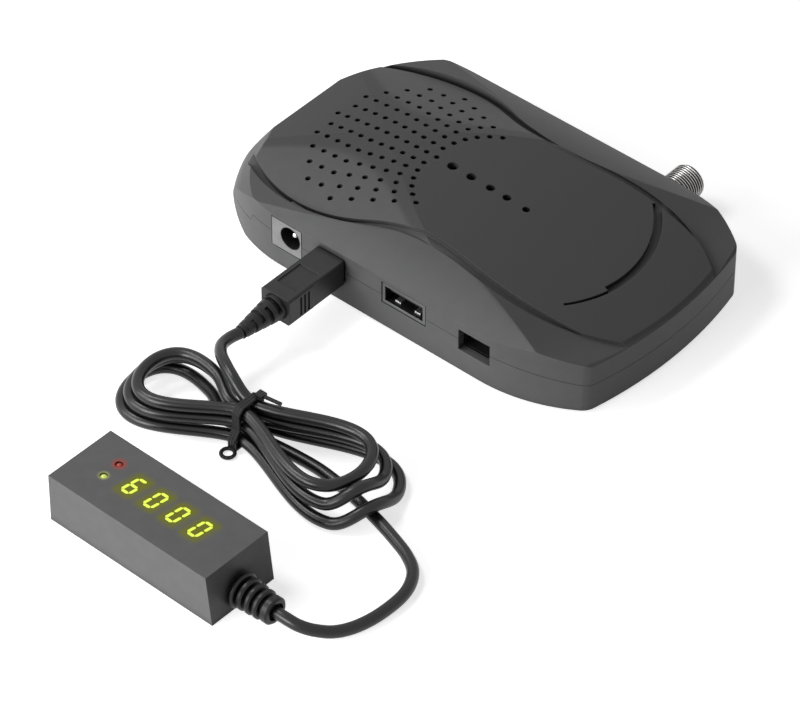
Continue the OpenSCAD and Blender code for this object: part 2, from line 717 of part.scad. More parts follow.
module lnb_insulator() color([0.92, 0.92, 0.92]) difference() {
    bore_y(lnb_x, can_y + 3, lnb_z, lnb_r - 0.95, wall_y + lnb_l - can_y - 4);
    bore_y(lnb_x, can_y + 2, lnb_z, 1.05, wall_y + lnb_l - can_y - 4);
    bore_y(lnb_x, can_y + 2, lnb_z, 0.6, 40);
}
module lnb_contact() color([0.85, 0.68, 0.3]) difference() {
    bore_y(lnb_x, can_y - 3, lnb_z, 1, wall_y + lnb_l - can_y + 0.8);
    bore_y(lnb_x, can_y + 4, lnb_z, 0.55, 40);
}
module hdmi_shell() color([0.75, 0.75, 0.77]) translate([hdmi_x, wall_y - 0.2, 0]) rotate(180)
    socket_can(0, top_z + 0.3, hdmi_w, hdmi_h - 0.3, 0, hdmi_l, hdmi_t);
module hdmi_tongue() color([0.1, 0.1, 0.1])
    box_at(hdmi_x, top_z + 3.1, 11.5, 0.9, wall_y - 0.2 - hdmi_l + hdmi_t, hdmi_l - 1.5);
module av_jack() color([0.12, 0.12, 0.12]) difference() {
    union() {
        box_at(av_x, top_z, av_w, av_h, wall_y - wall_t - 0.2 - av_l, av_l);
        bore_y(av_x, wall_y - wall_t - 1, av_z, av_nose_r, wall_t + 1.5);
    }
    bore_y(av_x, wall_y + 0.5 - 13, av_z, av_r, 14);
}

// ---------- lead: plug ----------
module plug_shell() color([0.8, 0.8, 0.8]) difference() {
    box_at(socket_x, socket_z - plug_shell_h / 2, plug_shell_w, plug_shell_h, plug_y, plug_in);
    box_at(socket_x, socket_z - plug_shell_h / 2 + plug_shell_t, plug_shell_w - 2 * plug_shell_t,
        plug_shell_h - 2 * plug_shell_t, plug_y - 1, plug_in + 2);
}
module plug_tongue() color([0.1, 0.1, 0.1])
    box_at(socket_x, socket_z - plug_shell_h / 2 + plug_shell_t + 0.15, 6, 1.2, plug_y, plug_in - 0.6);
module plug_housing() color([0.16, 0.16, 0.17]) {
    step = 0.25;
    front_l = 11.8;
    difference() {
        translate([socket_x, 0, socket_z]) along2(plug_end_y, plug_y) plug_section();
        // grip: three upright grooves on each side, and a waist between grip and nose
        for (s = [-1, 1], i = [0 : 2])
            box_at(socket_x + s * plug_w / 2, socket_z - plug_h / 2 + 1, 0.8, plug_h - 2,
                plug_end_y + 3.9 + 1.45 * i, 0.7);
        for (s = [-1, 1]) box_at(socket_x + s * plug_w / 2, socket_z - plug_h, 2 * step, 2 * plug_h,
            plug_y - front_l, front_l + 1);
        // recessed panel on top
        translate([0, 0, socket_z + plug_h / 2 - 0.3])
            linear_extrude(1) polygon([[socket_x - plug_w / 2 + 1.6, plug_end_y + 4.2],
                [socket_x + plug_w / 2 - 1.6, plug_end_y + 4.2],
                [socket_x + plug_w / 2 - 1.6, plug_y - 8], [socket_x - plug_w / 2 + 1.6, plug_y - 8]]);
    }
}
module plug_section() {
    w = plug_w / 2;
    h = plug_h / 2;
    c = 0.5;
    polygon([[-w, -h + c], [-w + c, -h], [w - c, -h], [w, -h + c], [w, h - c], [w - c, h], [-w + c, h],
        [-w, h - c]]);
}
// Extrudes an XZ outline from y0 to y1
module along2(y0, y1) { translate([0, y1, 0]) rotate([90, 0, 0]) linear_extrude(y1 - y0) children(); }
module plug_strain_relief() color([0.13, 0.13, 0.14]) {
    n = 5;
    pitch = relief_l / n;
    translate([socket_x, plug_end_y, socket_z]) rotate([90, 0, 0]) difference() {
        cylinder(r1 = plug_h / 2 - 0.25, r2 = cord_d / 2 + 0.25, h = relief_l - 0.2);
        for (i = [0 : n - 1]) translate([0, 0, pitch * (i + 0.45)]) difference() {
            cylinder(r = plug_h, h = pitch * 0.45);
            cylinder(r = 2.6 - 0.2 * i, h = pitch);
            rotate(90 * (i % 2)) translate([-plug_h, -0.7, 0]) cube([2 * plug_h, 1.4, pitch]);
        }
    }
}

// ---------- lead: cord ----------
// Catmull-Rom points between the points of a route
function spline(p, n) = [for (i = [0 : len(p) - 2], k = [0 : n - 1])
    let (t = k / n, a = p[max(i - 1, 0)], b = p[i], c = p[i + 1], d = p[min(i + 2, len(p) - 1)])
    0.5 * (2 * b + (c - a) * t + (2 * a - 5 * b + 4 * c - d) * t * t + (3 * b - a - 3 * c + d) * t * t * t),
    p[len(p) - 1]];
// One closed tube along points, with straight ends that face along t0 and t1
module tube(p, sides, t0, t1) {
    n = len(p);
    rings = [for (i = [0 : n - 1])
        let (t = i == 0 ? t0 : i == n - 1 ? t1 : unit(p[i + 1] - p[i - 1]),
             s = unit(cross([0, 0, 1], t)), u = cross(t, s))
        for (k = [0 : sides - 1]) p[i] + cord_d / 2 * (cos(360 * k / sides) * s + sin(360 * k / sides) * u)];
    faces = concat(
        [[for (k = [sides - 1 : -1 : 0]) k]],
        [for (i = [0 : n - 2], k = [0 : sides - 1])
            let (m = (k + 1) % sides, a = i * sides)
            each [[a + k, a + m, a + sides + m], [a + k, a + sides + m, a + sides + k]]],
        [[for (k = [0 : sides - 1]) (n - 1) * sides + k]]);
    polyhedron(rings, faces);
}
// The hank: three figure-of-eight loops, each a step lower. At the waist they lie in three rows
function hump(x, mid, half) = abs(x - mid) < half ? pow(cos(90 * (x - mid) / half), 2) : 0;
function ease(x) = let (t = min(1, max(0, x))) t * t * (3 - 2 * t);
function lobe_point(k, right, f) =
    let (l = right ? 35.2 + 3.85 * k : 30 + 2.4 * k,
         h = right ? 10.3 + 1.2 * k : 9 + 0.6 * k,
         u = l * (1 - cos(f)) / 2,
         c = cos(f / 2),
         out = !right && f >= 180,
         slot = (out ? slot_out[k] : slot_in[k]) * sign(c) * pow(abs(c), out ? slot_out_power[k] : 4),
         draw = right ? 0 : 2 * hump(f, 305, 30),
         v = slot + 1.54 * h * sin(f) * (1 - cos(f)) / 2 + draw,
         a = right ? 2 : 190,
         low = cord_d / 2 + layer * (2 - k),
         drop = right || k == 2 ? 0 : layer * ease((f - 262) / 90),
         over = right && k > 0 ? layer * hump(f, 194, 35) : 0)
    [hank_at.x + u * cos(a) - v * sin(a), hank_at.y + u * sin(a) + v * cos(a),
        low - drop + over + hank_lift * c * c];
function even(t) = 360 * t + 30 * sin(360 * t);
hank_route = concat(
    [for (k = [0 : 2], s = [0, 1], i = [0 : hank_rings - 1]) lobe_point(k, s == 0, even(i / hank_rings))],
    [lobe_point(2, false, 360)]);
// Least gap of the cord to itself, away from its own next rings
function self_gap(p, skip) =
    min([for (i = [0 : len(p) - 1]) min([for (j = [0 : len(p) - 1]) if (abs(i - j) >= skip) norm(p[i] - p[j])])])
    - cord_d;
echo(hank_least_gap = self_gap(hank_route, 8));
module cord_hank() color([0.1, 0.1, 0.1]) tube(hank_route, 6, [1, 0, 0], [1, 0, 0]);
module cord_plug_side() color([0.1, 0.1, 0.1]) tube(spline(plug_route, 4), 8, [0, -1, 0], [1, 0, 0]);
module cord_display_side() color([0.1, 0.1, 0.1]) tube(spline(display_route, 3), 8, [1, 0, 0],
    [-cos(disp_yaw), -sin(disp_yaw), 0]);
// Flat band pulled round the waist of the hank, with its folded end, its wire and a small loop
module band_area() {
    side = cord_d / 2 + band_gap;
    near = side + band_slack;
    row = hank_lift + cord_d / 2;
    z0 = hank_lift - band_under;
    polygon([[-slot_in[2] - near, z0], [slot_out[1] + side, z0], [slot_out[1] + side, row + 0.9],
        [slot_in[0] + side, row + layer - 0.4], [slot_in[0] + side, row + 2 * layer + 1],
        [slot_in[0] + 0.9, row + 2 * layer + side], [-slot_in[0] - 0.9, row + 2 * layer + side],
        [-slot_in[0] - near, row + 2 * layer + 0.9], [-slot_in[0] - near, row + layer - 0.4],
        [-slot_in[2] - near, row + 0.9]]);
}
module hank_tie() color([0.12, 0.12, 0.12]) {
    top = hank_lift + cord_d + 2 * layer + band_gap;
    far_y = slot_in[0] + cord_d / 2 + band_gap;
    near_y = -slot_in[2] - cord_d / 2 - band_gap - band_slack;
    translate([hank_at.x, hank_at.y, 0]) {
        across(band_w) difference() {
            offset(r = band_t, $fn = 24) band_area();
            band_area();
        }
        translate([band_w / 2 - 1.1, far_y - 1.8, top + 0.2]) cube([2.2, 2.2, 1.2]);
        translate([band_w / 2, far_y - 0.7, top + 0.8]) rotate([0, 90, 8]) cylinder(r = band_wire_r, h = 6);
        translate([0.4, near_y - band_t - loop_r, band_wire_r + 0.1]) rotate_extrude()
            translate([loop_r, 0]) circle(band_wire_r);
    }
}

// ---------- lead: display ----------
module on_display() { translate([disp_at.x, disp_at.y, 0]) rotate(disp_yaw) children(); }
// The display's block, t inside its faces; its +X end leans
module display_block(t, z0, z1) {
    along2(t, disp_w - t) polygon([[t, z0], [disp_l - t - disp_slope * z0 / disp_h, z0],
        [disp_l - t - disp_slope * z1 / disp_h, z1], [t, z1]]);
}
post_w = 2.6;
relief_core = cord_d / 2 + 0.8;
module display_case() color([0.34, 0.34, 0.35]) on_display() difference() {
    union() {
        difference() {
            display_block(0, 0, disp_h);
            display_block(disp_t, -1, disp_h - disp_skin);
        }
        for (x = [disp_t, disp_l - disp_t - post_w - disp_slope], y = [disp_t, disp_w - disp_t - post_w])
            translate([x - 0.1, y - 0.1, disp_t]) cube([post_w + 0.2, post_w + 0.2, disp_h - disp_t - 0.5]);
    }
    translate([disp_l - 6, disp_relief_y, disp_relief_z]) rotate([0, 90, 0])
        cylinder(r = relief_core + 0.1, h = 10);
    translate([0, 0, disp_h - disp_skin - 1]) linear_extrude(disp_skin + 2) {
        figures(segment_gap);
        for (y = [red_y, green_y]) translate([led_x, y]) circle(led_r + segment_gap);
    }
}
module display_base() color([0.2, 0.2, 0.21]) on_display() {
    display_block(disp_t + 0.1, 0, disp_t);
    for (x = [7, disp_l - 10], y = [6, disp_w - 6]) translate([x, y, disp_t - 0.1]) cylinder(r = 1.5,
        h = disp_board_z - disp_t + 0.1);
}
module display_board() color([0.08, 0.3, 0.16]) on_display()
    translate([disp_t + 0.4, disp_t + post_w + 0.4, disp_board_z])
        cube([disp_l - disp_relief_in - disp_t - 0.8, disp_w - 2 * (disp_t + post_w + 0.4), disp_board_t]);
digit_base = disp_board_z + disp_board_t;
digit_top = disp_h - disp_skin - 0.15;
module_w = 10;
module_side = 4.1;
module digit_module() color([0.12, 0.12, 0.12]) on_display()
    translate([digit_x - module_side, digit_y - module_w / 2, digit_base])
        cube([3 * digit_pitch + 2 * module_side, module_w, digit_top - digit_base]);
// One bar of a digit, with pointed ends, grown by g
module bar(l, g) {
    h = segment_w / 2 + g;
    e = l / 2 + g;
    polygon([[-e, 0], [-e + h, h], [e - h, h], [e, 0], [e - h, -h], [-e + h, -h]]);
}
// The lit bars of a digit: rows are its level bars from the bottom up, and each upright is a side and a half
module digit(rows, uprights, g) {
    multmatrix([[1, tan(digit_lean), 0, 0], [0, 1, 0, 0], [0, 0, 1, 0], [0, 0, 0, 1]]) {
        for (i = rows) translate([0, i * (digit_h - segment_w) / 2]) bar(digit_w - segment_w - segment_cut, g);
        for (p = uprights) translate([p[0] * (digit_w - segment_w) / 2, p[1] * (digit_h - segment_w) / 4])
            rotate(90) bar((digit_h - segment_w) / 2 - segment_cut, g);
    }
}
// The figures that the display shows, as bars that reach through the case's skin, grown by g
module figures(g) {
    six = [[-1, -1], [-1, 1], [1, -1]];
    translate([digit_x, digit_y]) {
        digit([-1, 0, 1], six, g);
        for (i = [1 : 3]) translate([i * digit_pitch, 0]) digit([-1, 1], concat(six, [[1, 1]]), g);
    }
}
module digit_segments() color([0.85, 0.95, 0.2]) on_display()
    translate([0, 0, digit_top]) linear_extrude(disp_h - digit_top) figures(0);
module led(y) {
    on_display() translate([led_x, y, digit_base]) {
        cylinder(r = led_r, h = disp_h - digit_base - led_r);
        translate([0, 0, disp_h - digit_base - led_r]) sphere(led_r);
    }
}
module power_led() color([0.8, 0.1, 0.1]) led(red_y);
module signal_led() color([0.8, 0.9, 0.2]) led(green_y);
module ir_receiver() color([0.1, 0.1, 0.1]) on_display() translate([disp_l - 9, digit_y - 3, digit_base]) {
    cube([4, 6, 4.6]);
    translate([2, 3, 4.6]) sphere(1.2);
}
// Collar at the face, three rings on a core, and a hollow collar that the cord leaves
module display_strain_relief() color([0.12, 0.12, 0.12]) on_display()
    translate([disp_l + 0.1, disp_relief_y, disp_relief_z]) rotate([0, 90, 0]) rotate_extrude() {
        l = disp_relief_l - 0.1;
        translate([0, -disp_relief_in]) {
            square([relief_core, disp_relief_in + l - disp_relief_mouth]);
            square([relief_core + 0.9, 1.3]);
        }
        ring_half(disp_relief_r + 0.5, 1.2);
        for (i = [0 : 2]) translate([0, 1.8 + disp_relief_pitch * i])
            ring_half(disp_relief_r - 0.15 * i, disp_relief_ring);
        translate([0, l - 2.4]) difference() {
            ring_half(disp_relief_r - 0.6, 2.4);
            translate([-1, 2.4 - disp_relief_mouth]) square([cord_d / 2 + 1.8, 4]);
        }
    }
// Half the section of a ring with bevelled rims
module ring_half(r, h) {
    e = 0.45;
    polygon([[0, 0], [r - e, 0], [r, e], [r, h - e], [r - e, h], [0, h]]);
}

top_cover();
bottom_cover();
rubber_feet();
case_screws();
pcb_screws();
main_board();
processor();
heat_sink();
memory_chip();
flash_chip();
crystal();
tuner_can();
tuner_chip();
capacitors();
inductors();
regulators();
dc_jack();
dc_jack_pin();
display_socket_shell();
display_socket_tongue();
usb_shell();
usb_insulator();
usb_contacts();
serial_jack();
serial_contacts();
lnb_connector();
lnb_insulator();
lnb_contact();
hdmi_shell();
hdmi_tongue();
av_jack();
plug_shell();
plug_tongue();
plug_housing();
plug_strain_relief();
cord_plug_side();
cord_hank();
cord_display_side();
hank_tie();
display_strain_relief();
display_case();
display_base();
display_board();
digit_module();
digit_segments();
power_led();
signal_led();
ir_receiver();
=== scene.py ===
"""Looks of the small satellite receiver with its corded display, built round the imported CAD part."""
import json
import math

import bpy
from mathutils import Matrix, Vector


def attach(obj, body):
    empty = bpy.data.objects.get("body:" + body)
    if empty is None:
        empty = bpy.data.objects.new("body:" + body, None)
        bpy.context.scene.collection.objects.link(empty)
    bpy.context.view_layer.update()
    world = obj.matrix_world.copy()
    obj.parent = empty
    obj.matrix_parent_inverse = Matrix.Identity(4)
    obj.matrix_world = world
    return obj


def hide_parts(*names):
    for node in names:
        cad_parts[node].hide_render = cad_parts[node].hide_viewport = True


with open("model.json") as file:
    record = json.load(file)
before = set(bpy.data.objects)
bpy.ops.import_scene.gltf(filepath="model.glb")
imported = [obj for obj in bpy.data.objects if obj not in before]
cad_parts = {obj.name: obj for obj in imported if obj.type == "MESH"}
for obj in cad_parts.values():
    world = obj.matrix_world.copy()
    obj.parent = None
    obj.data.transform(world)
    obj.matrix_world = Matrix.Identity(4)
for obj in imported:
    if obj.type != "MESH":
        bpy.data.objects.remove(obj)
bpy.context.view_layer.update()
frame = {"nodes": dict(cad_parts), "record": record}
scene = bpy.context.scene
nodes = frame["nodes"]
MM = 0.001

# ---------- sizes and places repeated from part.scad, in millimetres and degrees ----------
CASE_H, WALL_Y = 23.05, 38.5
CROWN_X, CROWN_BACK_R, CROWN_FRONT_R = -13.0, 185, 400
JACK_X, JACK_Z, JACK_BORE_R = -31.5, 11.8, 3.2
USB_X, USB_Z = 6.35, 8.7
SPRING_X, SPRING_HALF = 3.2, 0.9
CAN_Y = 30
LNB_X, LNB_Z, LNB_R, LNB_L = 27.45, 8.0, 4.76, 11.3
COLLAR_R, COLLAR_OUT = LNB_R + 0.24, 0.2
BARREL_BORE_R, BARREL_FLOOR, CONTACT_BORE_R = LNB_R - 0.9, 3, 1.5
DISP_X, DISP_Y, DISP_H, DISP_YAW = -15.15, -142.85, 14.5, -1.06
DIGIT_X, DIGIT_Y, DIGIT_LEAN = 17.75, 11.1, 8
LED_X, RED_Y, GREEN_Y = 9.8, 14.2, 8.92

# route of the cord, points on its centre line
CORD_D = 3.2
PLUG_ROUTE = [
    (-17.55, -72.3, 11.15), (-18.2, -75.6, 11.2), (-17.4, -79.4, 11.8), (-14.4, -82.8, 12.8),
    (-10.4, -85.4, 13.4), (-6.4, -87.2, 12.8), (-3.2, -88, 11.1), (-1, -88.2, 10.1), (1.23, -88.25, 9.7)]
DISPLAY_ROUTE = [
    (1.3, -90.2, 2.3), (5, -90.1, 2.1), (9, -89.8, 1.9), (16, -89, 1.7), (24, -88.8, 1.6),
    (34, -90.1, 1.6), (44, -92.4, 1.6), (52, -94.8, 1.6), (58.8, -97.4, 1.6), (63.6, -101, 1.6),
    (66.4, -107.2, 1.6), (66.6, -115.5, 1.6), (65.2, -122.4, 1.6), (62.8, -127.6, 2), (59.6, -131.3, 3.1),
    (56.4, -133.4, 4.2), (52.8, -134.1, 4.9), (48.87, -134.13, 4.95)]

# the hank: three figure-of-eight loops, loop 0 on top; each loop has a right and a left lobe
HANK_AT = (1.3, -90.2)
HANK_LIFT = 0.7
LAYER = 3.7
RIGHT_LOBE = {"length": 35.2, "longer": 3.85, "half": 10.3, "wider": 1.2, "turn": 2}
LEFT_LOBE = {"length": 30, "longer": 2.4, "half": 9, "wider": 0.6, "turn": 190}
FULLNESS = 1.54  # 1 over the greatest value of sin(f) (1 - cos(f)) / 2
SLOT_IN = (1.95, 1.95, 3.7)  # a loop's places at the waist, on all but the last run of its left lobe
SLOT_OUT = (1.95, 4, 0)
SLOT_POWER, SLOT_OUT_POWER = 4, (4, 1, 2)
OVER_AT, OVER_HALF = 194, 35  # degrees round the right lobe, where the lower loops rise by a layer
ASIDE, ASIDE_AT, ASIDE_HALF = 2, 305, 30  # by how much and where a left lobe is drawn aside
DROP_FROM, DROP_RUN = 262, 90  # degrees round the left lobe, where it goes down to the next loop
EVEN_BY = 30  # degrees by which the points of a lobe are drawn towards its tip


def mm(x, y, z):
    return Vector((x, y, z)) * MM


def cosd(a):
    return math.cos(math.radians(a))


def sind(a):
    return math.sin(math.radians(a))


def add_object(name, data):
    obj = bpy.data.objects.new(name, data)
    scene.collection.objects.link(obj)
    return obj


# ---------- camera ----------
camera = add_object("camera", bpy.data.cameras.new("camera"))
camera.location = mm(587.967, -710.659, 801.456)
camera.rotation_euler = [math.radians(a) for a in (47.774, -0.104, 41.018)]
camera.data.sensor_width = 36
camera.data.lens = 215.197
camera.data.clip_start = 0.05
camera.data.clip_end = 50
scene.camera = camera


# ---------- steps of the materials' node trees ----------
def new_material(name):
    mat = bpy.data.materials.new(name)
    mat.use_nodes = True
    return mat, mat.node_tree, mat.node_tree.nodes["Principled BSDF"]


def set_inputs(node, **values):
    for key, value in values.items():
        node.inputs[key.replace("_", " ")].default_value = value


def feed(tree, socket, value):
    """Sets a socket to a number or to a colour, which is a tuple, or links it to another socket."""
    if isinstance(value, (int, float)):
        socket.default_value = value
    elif isinstance(value, tuple):
        socket.default_value = (*value, 1)
    else:
        tree.links.new(value, socket)


def coordinates(tree):
    return tree.nodes.new("ShaderNodeTexCoord").outputs["Object"]


def axes(tree, at, turn=0.0):
    """x, y and z in a frame that stands at a point and is turned about z."""
    move = tree.nodes.new("ShaderNodeVectorMath")
    move.operation = "SUBTRACT"
    tree.links.new(coordinates(tree), move.inputs[0])
    move.inputs[1].default_value = at
    spin = tree.nodes.new("ShaderNodeVectorRotate")
    spin.rotation_type = "Z_AXIS"
    tree.links.new(move.outputs[0], spin.inputs["Vector"])
    spin.inputs["Angle"].default_value = -turn
    parts = tree.nodes.new("ShaderNodeSeparateXYZ")
    tree.links.new(spin.outputs[0], parts.inputs[0])
    return parts.outputs[0], parts.outputs[1], parts.outputs[2]


def compute(tree, operation, *values):
    """One step of arithmetic on sockets and numbers."""
    node = tree.nodes.new("ShaderNodeMath")
    node.operation = operation
    for socket, value in zip(node.inputs, values):
        feed(tree, socket, value)
    return node.outputs[0]


def square(tree, value):
    return compute(tree, "MULTIPLY", value, value)


def distance(tree, a, b):
    """Length of the hypotenuse over a and b."""
    return compute(tree, "SQRT", compute(tree, "ADD", square(tree, a), square(tree, b)))


def between(tree, value, lo, hi):
    """0 below lo, 1 above hi, smooth between them; lo may be the larger."""
    node = tree.nodes.new("ShaderNodeMapRange")
    node.interpolation_type = "SMOOTHSTEP"
    set_inputs(node, From_Min=lo, From_Max=hi, To_Min=0.0, To_Max=1.0)
    tree.links.new(value, node.inputs["Value"])
    return node.outputs["Result"]


def noise(tree, scale, detail=2.0):
    node = tree.nodes.new("ShaderNodeTexNoise")
    set_inputs(node, Scale=scale, Detail=detail)
    tree.links.new(coordinates(tree), node.inputs["Vector"])
    return node.outputs["Fac"]


def spread(tree, value, lo, hi):
    """The middle range of a noise, stretched to lo..hi."""
    node = tree.nodes.new("ShaderNodeMapRange")
    set_inputs(node, From_Min=0.3, From_Max=0.7, To_Min=lo, To_Max=hi)
    tree.links.new(value, node.inputs["Value"])
    return node.outputs["Result"]


def ramp(tree, value, lo, hi, a, b):
    """value between lo and hi becomes a mix of colours a and b."""
    node = tree.nodes.new("ShaderNodeValToRGB")
    first, last = node.color_ramp.elements
    first.position, last.position = lo, hi
    first.color, last.color = (*a, 1), (*b, 1)
    tree.links.new(value, node.inputs["Fac"])
    return node.outputs["Color"]


def blend(tree, amount, first, second, kind="MIX"):
    """A mix of two colours, from the first at 0 to the second at 1."""
    node = tree.nodes.new("ShaderNodeMix")
    node.data_type, node.blend_type = "RGBA", kind
    feed(tree, node.inputs[0], amount)
    feed(tree, node.inputs[6], first)
    feed(tree, node.inputs[7], second)
    return node.outputs[2]


def bumped(tree, value, strength, depth, edge):
    """A bump on top of softly rounded edges."""
    node = tree.nodes.new("ShaderNodeBump")
    set_inputs(node, Strength=strength, Distance=depth)
    tree.links.new(value, node.inputs["Height"])
    if edge:
        bevel = tree.nodes.new("ShaderNodeBevel")
        bevel.samples = 6
        set_inputs(bevel, Radius=edge)
        tree.links.new(bevel.outputs["Normal"], node.inputs["Normal"])
    return node.outputs["Normal"]


SHUT, OPEN = 0.2, 0.95  # share of free view at which the painted crevice shade is darkest, and at which there is none


def painted_crevice_shade(tree, colour, reach, least):
    """The colour with painted shade, darker where faces close in on each other within reach."""
    near = tree.nodes.new("ShaderNodeAmbientOcclusion")
    near.samples = 6
    set_inputs(near, Distance=reach)
    shade = ramp(tree, near.outputs["AO"], SHUT, OPEN, [least] * 3, [1] * 3)
    return blend(tree, 1.0, colour, shade, "MULTIPLY")


# ---------- tints: each takes the tree, the tone below it and the shader, and returns the new tone ----------
PLATE_EDGE, PLATE_TOP = -1.0, -0.5  # heights against the crown where the darker plate starts and is full
PLATE_TONE = (0.056, 0.056, 0.057)


def raised_plate(tree, body_tone, shader):
    """The raised hourglass plate is darker than the body; its crown follows two long arcs."""
    x, _, z = axes(tree, (CROWN_X * MM, 0, CASE_H * MM))
    ahead, behind = compute(tree, "MAXIMUM", x, 0.0), compute(tree, "MINIMUM", x, 0.0)
    fall = compute(tree, "ADD",
                   compute(tree, "DIVIDE", square(tree, ahead), 2 * CROWN_FRONT_R * MM),
                   compute(tree, "DIVIDE", square(tree, behind), 2 * CROWN_BACK_R * MM))
    on_top = between(tree, compute(tree, "ADD", z, fall), PLATE_EDGE * MM, PLATE_TOP * MM)
    return blend(tree, on_top, body_tone, PLATE_TONE)


BORE_EDGE, FACE_EDGE = 0.02, 0.25  # beyond the bore's radius, where its painted shade ends and the face is full
BORE_SHADE_TONE = (0.006, 0.006, 0.006)


def painted_bore_shade(tree, face_tone, shader):
    """The power jack's bore is darkened with painted shade."""
    x, _, z = axes(tree, (JACK_X * MM, 0, JACK_Z * MM))
    radius = distance(tree, x, z)
    on_face = between(tree, radius, (JACK_BORE_R + BORE_EDGE) * MM, (JACK_BORE_R + FACE_EDGE) * MM)
    return blend(tree, on_face, BORE_SHADE_TONE, face_tone)


SPRING_Y, SPRING_TOP = -36.0, 1.5  # place of the painted highlight spots, and their top over the socket's middle
SPRING_BLUR, SPRING_HIGHLIGHT_TONE = 0.1, (0.95, 0.95, 0.95)


def painted_spring_highlights(tree, shell_tone, shader):
    """Painted highlights on the two springs in the floor of the USB socket."""
    x, y, z = axes(tree, (USB_X * MM, SPRING_Y * MM, USB_Z * MM))
    aside = compute(tree, "SUBTRACT", compute(tree, "ABSOLUTE", x), SPRING_X * MM)
    away = compute(tree, "MAXIMUM", compute(tree, "ABSOLUTE", aside), compute(tree, "ABSOLUTE", y))
    away = compute(tree, "MAXIMUM", away, compute(tree, "SUBTRACT", z, (SPRING_TOP - SPRING_HALF) * MM))
    on_spring = between(tree, away, (SPRING_HALF + SPRING_BLUR) * MM, SPRING_HALF * MM)
    return blend(tree, on_spring, shell_tone, SPRING_HIGHLIGHT_TONE)


# depth of the thread, and how far below its crest the painted shade has faded out
THREAD_DEPTH, CREST_UNSHADED = 0.45, 0.05
ROOT_SHADE_TONE = (0.02, 0.02, 0.021)


def painted_thread_shade(tree, crest_tone, shader):
    """Painted shade darkens the roots of the antenna thread; its crests keep the metal's tone."""
    x, _, z = axes(tree, (LNB_X * MM, 0, LNB_Z * MM))
    radius = distance(tree, x, z)
    on_crest = between(tree, radius, (LNB_R - THREAD_DEPTH) * MM, (LNB_R - CREST_UNSHADED) * MM)
    return blend(tree, on_crest, ROOT_SHADE_TONE, crest_tone)


SKIN_EDGE, SKIN_TOP = -0.3, -0.1  # heights against the display's top where its skin starts and is full
DIGIT_PITCH, LAST_DIGIT = 7.25, 3.0
LIT_HALF_W, LIT_HALF_H = 1.5, 2.9  # half the box that a lit figure fills
FIGURE_REACH, FIGURE_SHARE = 2.7, 0.95  # how far its light spreads, and how much the skin takes of its tone
FIGURE_TONE, FIGURE_LIGHT = (0.105, 0.105, 0.006), (0.048, 0.050, 0.0)
LAMPS = (  # place across the display, reach of the light and its tone
    (RED_Y, 2.6, (0.30, 0.050, 0.035)),
    (GREEN_Y, 1.9, (0.30, 0.34, 0.10)))
LAMP_CORE, LAMP_SHARE = 0.8, 0.8  # distance up to which a lamp's light is full, and the skin's share
LAMP_LIGHT = 0.2  # share of a lamp's tone that shines


def beyond(tree, value, half):
    """How far a value lies outside a band of that half width, 0 inside it."""
    outside = compute(tree, "SUBTRACT", compute(tree, "ABSOLUTE", value), half * MM)
    return compute(tree, "MAXIMUM", outside, 0.0)


def from_figures(tree, x, y):
    """Distance from the nearest of the four leaning figures."""
    v = compute(tree, "SUBTRACT", y, DIGIT_Y * MM)
    lean = compute(tree, "MULTIPLY", v, math.tan(math.radians(DIGIT_LEAN)))
    u = compute(tree, "SUBTRACT", compute(tree, "SUBTRACT", x, DIGIT_X * MM), lean)
    number = compute(tree, "ROUND", compute(tree, "DIVIDE", u, DIGIT_PITCH * MM))
    number = compute(tree, "MINIMUM", compute(tree, "MAXIMUM", number, 0.0), LAST_DIGIT)
    u = compute(tree, "SUBTRACT", u, compute(tree, "MULTIPLY", number, DIGIT_PITCH * MM))
    return distance(tree, beyond(tree, u, LIT_HALF_W), beyond(tree, v, LIT_HALF_H))


def figure_glow(tree, skin_tone, shader):
    """Light of the figures and the two lamps that spreads in the skin round them."""
    x, y, z = axes(tree, (DISP_X * MM, DISP_Y * MM, 0), math.radians(DISP_YAW))
    on_top = between(tree, z, (DISP_H + SKIN_EDGE) * MM, (DISP_H + SKIN_TOP) * MM)
    glow = compute(tree, "MULTIPLY", on_top, between(tree, from_figures(tree, x, y), FIGURE_REACH * MM, 0.0))
    skin = blend(tree, compute(tree, "MULTIPLY", glow, FIGURE_SHARE), skin_tone, FIGURE_TONE)
    light = blend(tree, glow, (0.0, 0.0, 0.0), FIGURE_LIGHT)
    for lamp_y, reach, tone in LAMPS:
        along, across = compute(tree, "SUBTRACT", x, LED_X * MM), compute(tree, "SUBTRACT", y, lamp_y * MM)
        away = distance(tree, along, across)
        glow = compute(tree, "MULTIPLY", on_top, between(tree, away, reach * MM, LAMP_CORE * MM))
        skin = blend(tree, compute(tree, "MULTIPLY", glow, LAMP_SHARE), skin, tone)
        light = blend(tree, glow, light, tuple(c * LAMP_LIGHT for c in tone))
    tree.links.new(light, shader.inputs["Emission Color"])
    set_inputs(shader, Emission_Strength=1.0)
    return skin


# ---------- materials ----------
PATCH_LO, PATCH_HI = 0.35, 0.65  # range of the noise that spreads patches of slightly different tone
PLASTIC_PATCHES, PLASTIC_REACH, PLASTIC_SPREAD = 260, 2.5, 0.04  # scale, reach of the painted crevice shade, gloss's spread
# reach of the painted crevice shade on metal, spread of its roughness, least roughness
METAL_REACH, METAL_SPREAD, METAL_LEAST_ROUGH = 2, 0.05, 0.03
METAL_DARK, LENS_DARK = 0.9, 0.85  # tone of the darker patches, as a share of the colour


